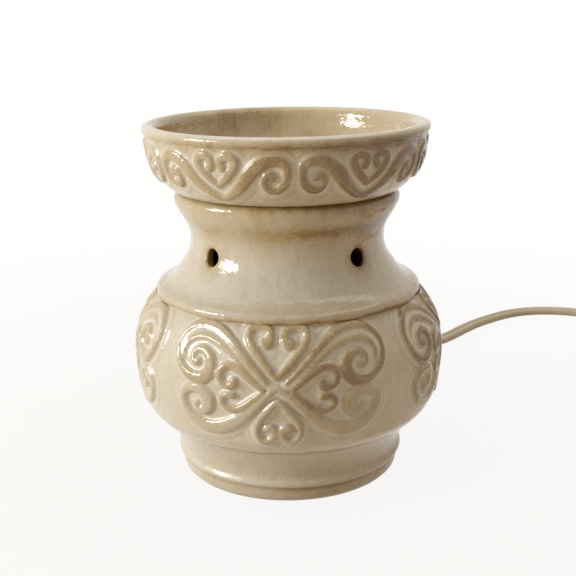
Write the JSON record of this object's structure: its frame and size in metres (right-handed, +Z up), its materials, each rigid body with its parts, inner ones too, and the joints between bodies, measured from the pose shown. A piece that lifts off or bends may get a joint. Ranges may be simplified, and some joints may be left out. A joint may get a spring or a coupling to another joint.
{
  "type": "wax melt warmer",
  "caption": "Electric ceramic wax melt warmer: a vase-shaped lamp housing with a lift-off wax dish, a bulb on a base plate, and a mains lead with an in-line switch and plug.",
  "frame": {"origin": "point of the table under the middle of the ceramic body", "axes": "+Z up along the body's axis, -Y towards the front, +X to the right seen from the front"},
  "size_m": [0.3263, 0.2684, 0.152],
  "materials": {
    "ceramic_body": "gloss glaze, cream over tan",
    "ceramic_dish": "gloss glaze, cream over tan",
    "plate_steel": "zinc-plated sheet",
    "spring_steel": "satin",
    "rivet_alloy": "satin",
    "pad_rubber": "matt",
    "nipple_steel": "yellow zinc",
    "holder_plastic": "moulded, satin",
    "shell_brass": "rolled sheet",
    "bulb_glass": "clear",
    "cap_metal": "rolled sheet",
    "insulator_black": "vitreous black",
    "solder": "dull solder",
    "filament_metal": "wire",
    "cord_plastic": "satin vinyl, tan",
    "tie_plastic": "satin",
    "switch_plastic": "moulded, satin",
    "wheel_plastic": "moulded, satin",
    "blade_brass": "plated"
  },
  "bodies": {
    "warmer": {"warmer_body": "ceramic_body", "base_plate": "plate_steel", "spring_clips": "spring_steel", "clip_rivets": "rivet_alloy", "rubber_feet": "pad_rubber", "mounting_nipple": "nipple_steel", "nipple_nut": "nipple_steel", "lampholder_body": "holder_plastic", "lampholder_shell": "shell_brass", "lampholder_contact": "shell_brass", "terminal_screws": "shell_brass", "strain_relief": "cord_plastic", "inner_lead": "cord_plastic", "cord_lead": "cord_plastic", "cord_tail": "cord_plastic", "cord_coil": "cord_plastic", "cord_tie": "tie_plastic", "switch_lower": "switch_plastic", "switch_upper": "switch_plastic", "switch_screws": "rivet_alloy", "plug_body": "switch_plastic", "plug_blades": "blade_brass"},
    "dish": {"wax_dish": "ceramic_dish"},
    "bulb": {"bulb_globe": "bulb_glass", "bulb_cap": "cap_metal", "bulb_insulator": "insulator_black", "bulb_tip": "solder", "bulb_stem": "bulb_glass", "filament_wires": "filament_metal", "filament": "filament_metal"},
    "switch_dial": {"switch_wheel": "wheel_plastic"}
  },
  "joints": [
    {"name": "dish_lift", "type": "slide", "parent": "warmer", "child": "dish", "axis": [0, 0, 1], "range_m": [0, 0.06]},
    {"name": "bulb_turn", "type": "hinge", "parent": "warmer", "child": "bulb", "pos_m": [0, 0, 0.05], "axis": [0, 0, 1], "range_deg": [0, 900]},
    {"name": "switch_turn", "type": "hinge", "parent": "warmer", "child": "switch_dial", "pos_m": [0.23325, 0.113, 0.0075], "axis": [0, 0, 1], "continuous": true}
  ]
}
